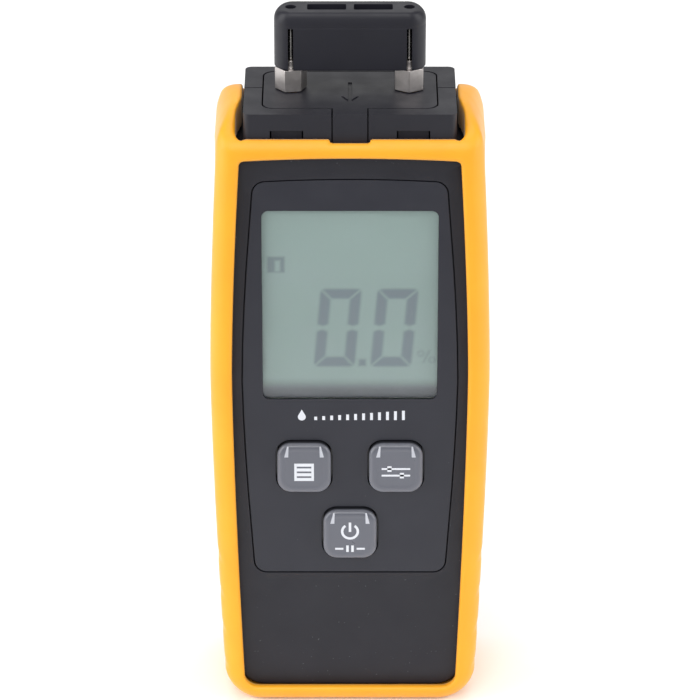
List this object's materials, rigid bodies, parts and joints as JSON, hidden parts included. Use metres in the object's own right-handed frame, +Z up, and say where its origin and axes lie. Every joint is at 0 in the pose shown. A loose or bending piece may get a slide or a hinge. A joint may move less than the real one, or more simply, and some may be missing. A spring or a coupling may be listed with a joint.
{
  "type": "moisture meter",
  "caption": "Hand-held pin-type moisture meter with a display, push keys, a protective rubber boot, a battery door and a push-on cap over its pins.",
  "frame": {"origin": "middle of the flat foot that the meter stands on", "axes": "+Z up along the meter towards its pins, -Y out of its face, +X to the right seen from the front"},
  "size_m": [0.0602, 0.031, 0.159],
  "materials": {
    "boot_rubber": "soft matte moulded elastomer, yellow-orange",
    "case_plastic": "fine spark-textured ABS, charcoal",
    "plate_plastic": "fine texture, charcoal, with white print",
    "cap_plastic": "smooth satin black",
    "key_plastic": "smoky translucent moulding with white print",
    "window_plastic": "clear polished lens",
    "display_glass": "grey-green reflective liquid-crystal cell",
    "white_plastic": "plain moulded",
    "silicone": "soft matte",
    "board_laminate": "green solder mask",
    "chip_epoxy": "moulded epoxy",
    "nickel": "satin nickel plate",
    "pin_steel": "ground stainless steel",
    "screw_steel": "blackened zinc plate",
    "brass": "turned",
    "battery_jacket": "lacquered steel can",
    "lead_red": "PVC insulation",
    "lead_black": "PVC insulation"
  },
  "bodies": {
    "meter": {"protective_boot": "boot_rubber", "front_case": "case_plastic", "rear_case": "case_plastic", "face_plate": "plate_plastic", "display_window": "window_plastic", "display_glass": "display_glass", "display_holder": "white_plastic", "display_connector": "silicone", "key_mat": "silicone", "circuit_board": "board_laminate", "controller_chip": "chip_epoxy", "amplifier_chip": "chip_epoxy", "timing_crystal": "nickel", "smoothing_capacitor": "chip_epoxy", "electrode_holder": "case_plastic", "socket_left": "brass", "socket_right": "brass", "ferrule_left": "nickel", "ferrule_right": "nickel", "pin_left": "pin_steel", "pin_right": "pin_steel", "electrode_lead_left": "lead_black", "electrode_lead_right": "lead_black", "battery": "battery_jacket", "battery_plus_terminal": "nickel", "battery_minus_terminal": "nickel", "battery_snap_connector": "silicone", "battery_lead_red": "lead_red", "battery_lead_black": "lead_black", "board_screw_1": "screw_steel", "case_screw_1": "screw_steel", "board_screw_2": "screw_steel", "case_screw_2": "screw_steel", "board_screw_3": "screw_steel", "case_screw_3": "screw_steel", "board_screw_4": "screw_steel", "case_screw_4": "screw_steel"},
    "mode_key": {"key_mode": "key_plastic", "plunger_mode": "silicone"},
    "set_key": {"key_set": "key_plastic", "plunger_set": "silicone"},
    "power_key": {"key_power": "key_plastic", "plunger_power": "silicone"},
    "cap": {"pin_cap": "cap_plastic"},
    "battery_door": {"battery_door": "case_plastic"}
  },
  "joints": [
    {"name": "mode_press", "type": "slide", "parent": "meter", "child": "mode_key", "axis": [0, 1, 0], "range_m": [0, 0.0008], "stiffness_N_per_m": 900, "springref_m": -0.0006},
    {"name": "set_press", "type": "slide", "parent": "meter", "child": "set_key", "axis": [0, 1, 0], "range_m": [0, 0.0008], "stiffness_N_per_m": 900, "springref_m": -0.0006},
    {"name": "power_press", "type": "slide", "parent": "meter", "child": "power_key", "axis": [0, 1, 0], "range_m": [0, 0.0008], "stiffness_N_per_m": 900, "springref_m": -0.0006},
    {"name": "cap_pull", "type": "slide", "parent": "meter", "child": "cap", "axis": [0, 0, 1], "range_m": [0, 0.024]},
    {"name": "door_hinge", "type": "hinge", "parent": "meter", "child": "battery_door", "pos_m": [0, 0.01265, 0.0087], "axis": [-1, 0, 0], "range_deg": [0, 95]}
  ]
}
